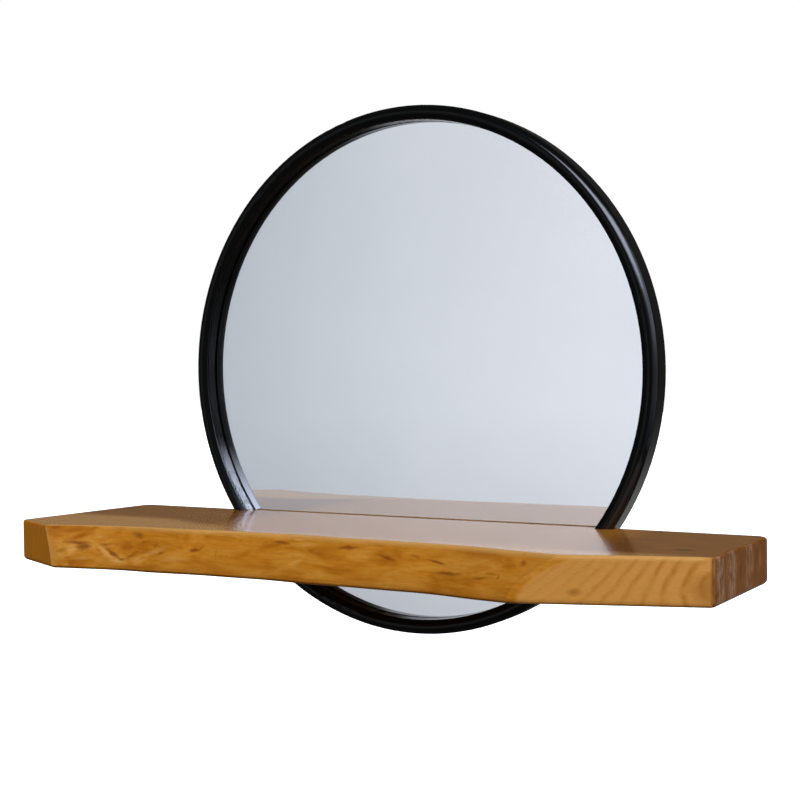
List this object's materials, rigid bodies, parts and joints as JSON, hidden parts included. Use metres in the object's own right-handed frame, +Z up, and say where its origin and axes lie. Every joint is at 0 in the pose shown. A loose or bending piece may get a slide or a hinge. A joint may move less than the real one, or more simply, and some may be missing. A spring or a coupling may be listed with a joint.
{
  "type": "mirror with shelf",
  "caption": "Round wall mirror in a moulded black ring, with a thick live-edge wooden shelf notched over the ring's lower part.",
  "frame": {"origin": "the ring's centre on the wall's surface", "axes": "+X to the viewer's right, +Y into the wall, +Z up"},
  "size_m": [0.8295, 0.2509, 0.6],
  "materials": {
    "black_lacquer": "satin black lacquer",
    "mirror": "polished mirror",
    "board": "hardboard",
    "plank": "clear gloss lacquer",
    "spacer_wood": "planed softwood",
    "steel": "zinc-plated",
    "zinc": "zinc-plated"
  },
  "bodies": {
    "mirror": {"frame_ring": "black_lacquer", "mirror_glass": "mirror", "backing_board": "board", "shelf_board": "plank", "ring_screws": "zinc", "wall_spacer_left": "spacer_wood", "wall_spacer_right": "spacer_wood", "spacer_screws": "zinc", "keyhole_plate_left": "steel", "keyhole_plate_right": "steel", "keyhole_screws": "zinc", "sawtooth_hanger": "steel", "sawtooth_screws": "zinc", "turn_button_screws": "zinc"},
    "button_1": {"turn_button_1": "steel"},
    "button_2": {"turn_button_2": "steel"},
    "button_3": {"turn_button_3": "steel"},
    "button_4": {"turn_button_4": "steel"},
    "button_5": {"turn_button_5": "steel"},
    "button_6": {"turn_button_6": "steel"}
  },
  "joints": [
    {"name": "button_1_turn", "type": "hinge", "parent": "mirror", "child": "button_1", "pos_m": [0.2925, -0.0034, 0], "axis": [0, 1, 0], "range_deg": [0, 90]},
    {"name": "button_2_turn", "type": "hinge", "parent": "mirror", "child": "button_2", "pos_m": [0.14625, -0.0034, 0.25331], "axis": [0, 1, 0], "range_deg": [0, 90]},
    {"name": "button_3_turn", "type": "hinge", "parent": "mirror", "child": "button_3", "pos_m": [-0.14625, -0.0034, 0.25331], "axis": [0, 1, 0], "range_deg": [0, 90]},
    {"name": "button_4_turn", "type": "hinge", "parent": "mirror", "child": "button_4", "pos_m": [-0.2925, -0.0034, 0], "axis": [0, 1, 0], "range_deg": [0, 90]},
    {"name": "button_5_turn", "type": "hinge", "parent": "mirror", "child": "button_5", "pos_m": [-0.14625, -0.0034, -0.25331], "axis": [0, 1, 0], "range_deg": [0, 90]},
    {"name": "button_6_turn", "type": "hinge", "parent": "mirror", "child": "button_6", "pos_m": [0.14625, -0.0034, -0.25331], "axis": [0, 1, 0], "range_deg": [0, 90]}
  ]
}
